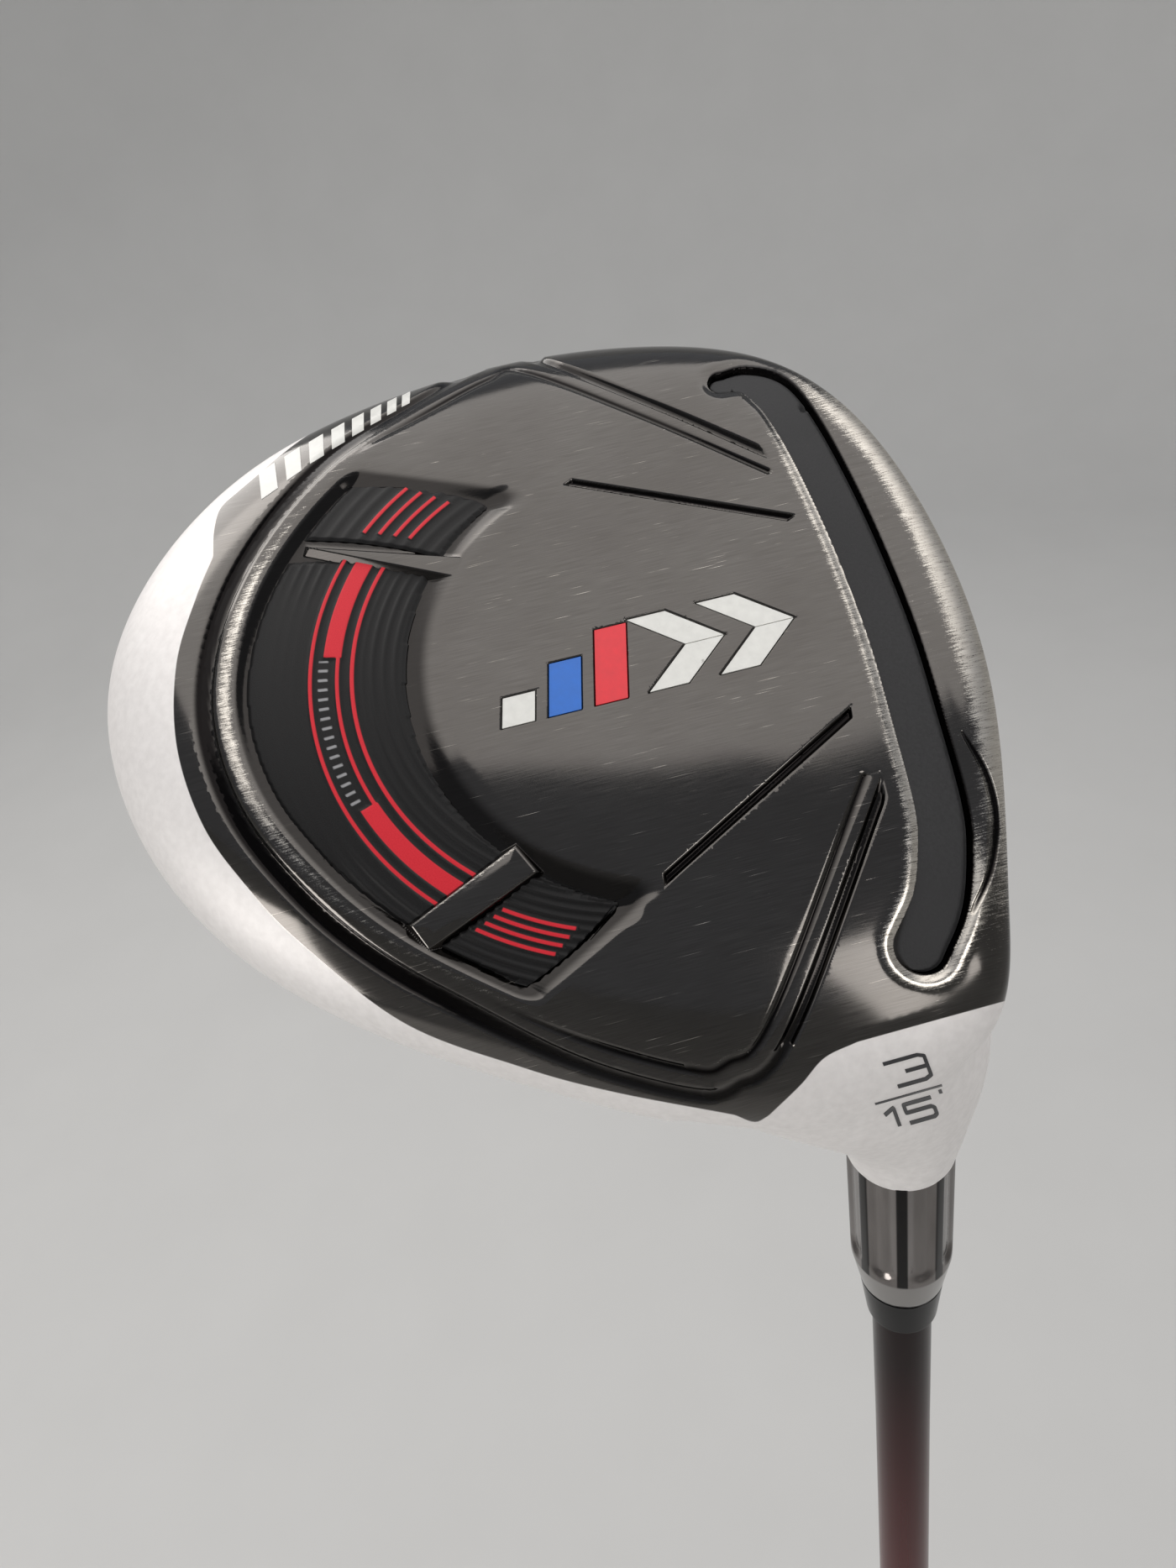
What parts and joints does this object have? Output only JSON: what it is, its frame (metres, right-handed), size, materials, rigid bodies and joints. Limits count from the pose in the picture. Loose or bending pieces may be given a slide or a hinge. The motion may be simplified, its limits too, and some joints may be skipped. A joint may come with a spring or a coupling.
{
  "type": "fairway wood",
  "caption": "Golf fairway wood: hollow steel head with bonded crown, face insert, filled sole slot and badges, on a tapered shaft with a rubber grip.",
  "frame": {"origin": "centre of the butt end of the grip, on the shaft axis", "axes": "+Z along the shaft axis from the grip up to the head, -Y the way the face looks, +X the side the toe reaches out to"},
  "size_m": [0.0946, 0.1045, 1.132],
  "materials": {
    "satin_steel": "blasted satin steel on the skirt and neck, dark brushed coating on the sole",
    "face_steel": "milled and blasted",
    "carbon_crown": "lacquered carbon fibre weave",
    "slot_rubber": "matt elastomer",
    "badge_rubber": "ribbed matt black with red lines",
    "tungsten": "sintered",
    "hot_melt": "waxy",
    "brass": "turned",
    "ferrule_black": "polished",
    "shaft_lacquer": "gloss lacquer, black fading to dark red",
    "grip_rubber": "moulded texture",
    "tape_paper": "double-sided paper tape"
  },
  "bodies": {
    "root": {"head_body": "satin_steel", "face_plate": "face_steel", "crown_shell": "carbon_crown", "slot_insert": "slot_rubber", "sole_badge_centre": "badge_rubber", "sole_badge_toe": "badge_rubber", "sole_badge_heel": "badge_rubber", "weight_toe": "tungsten", "weight_heel": "tungsten", "hot_melt_pad": "hot_melt", "tip_weight_pin": "brass", "ferrule": "ferrule_black", "shaft": "shaft_lacquer", "grip_tape": "tape_paper", "grip": "grip_rubber", "grip_cap": "grip_rubber"}
  },
  "joints": []
}
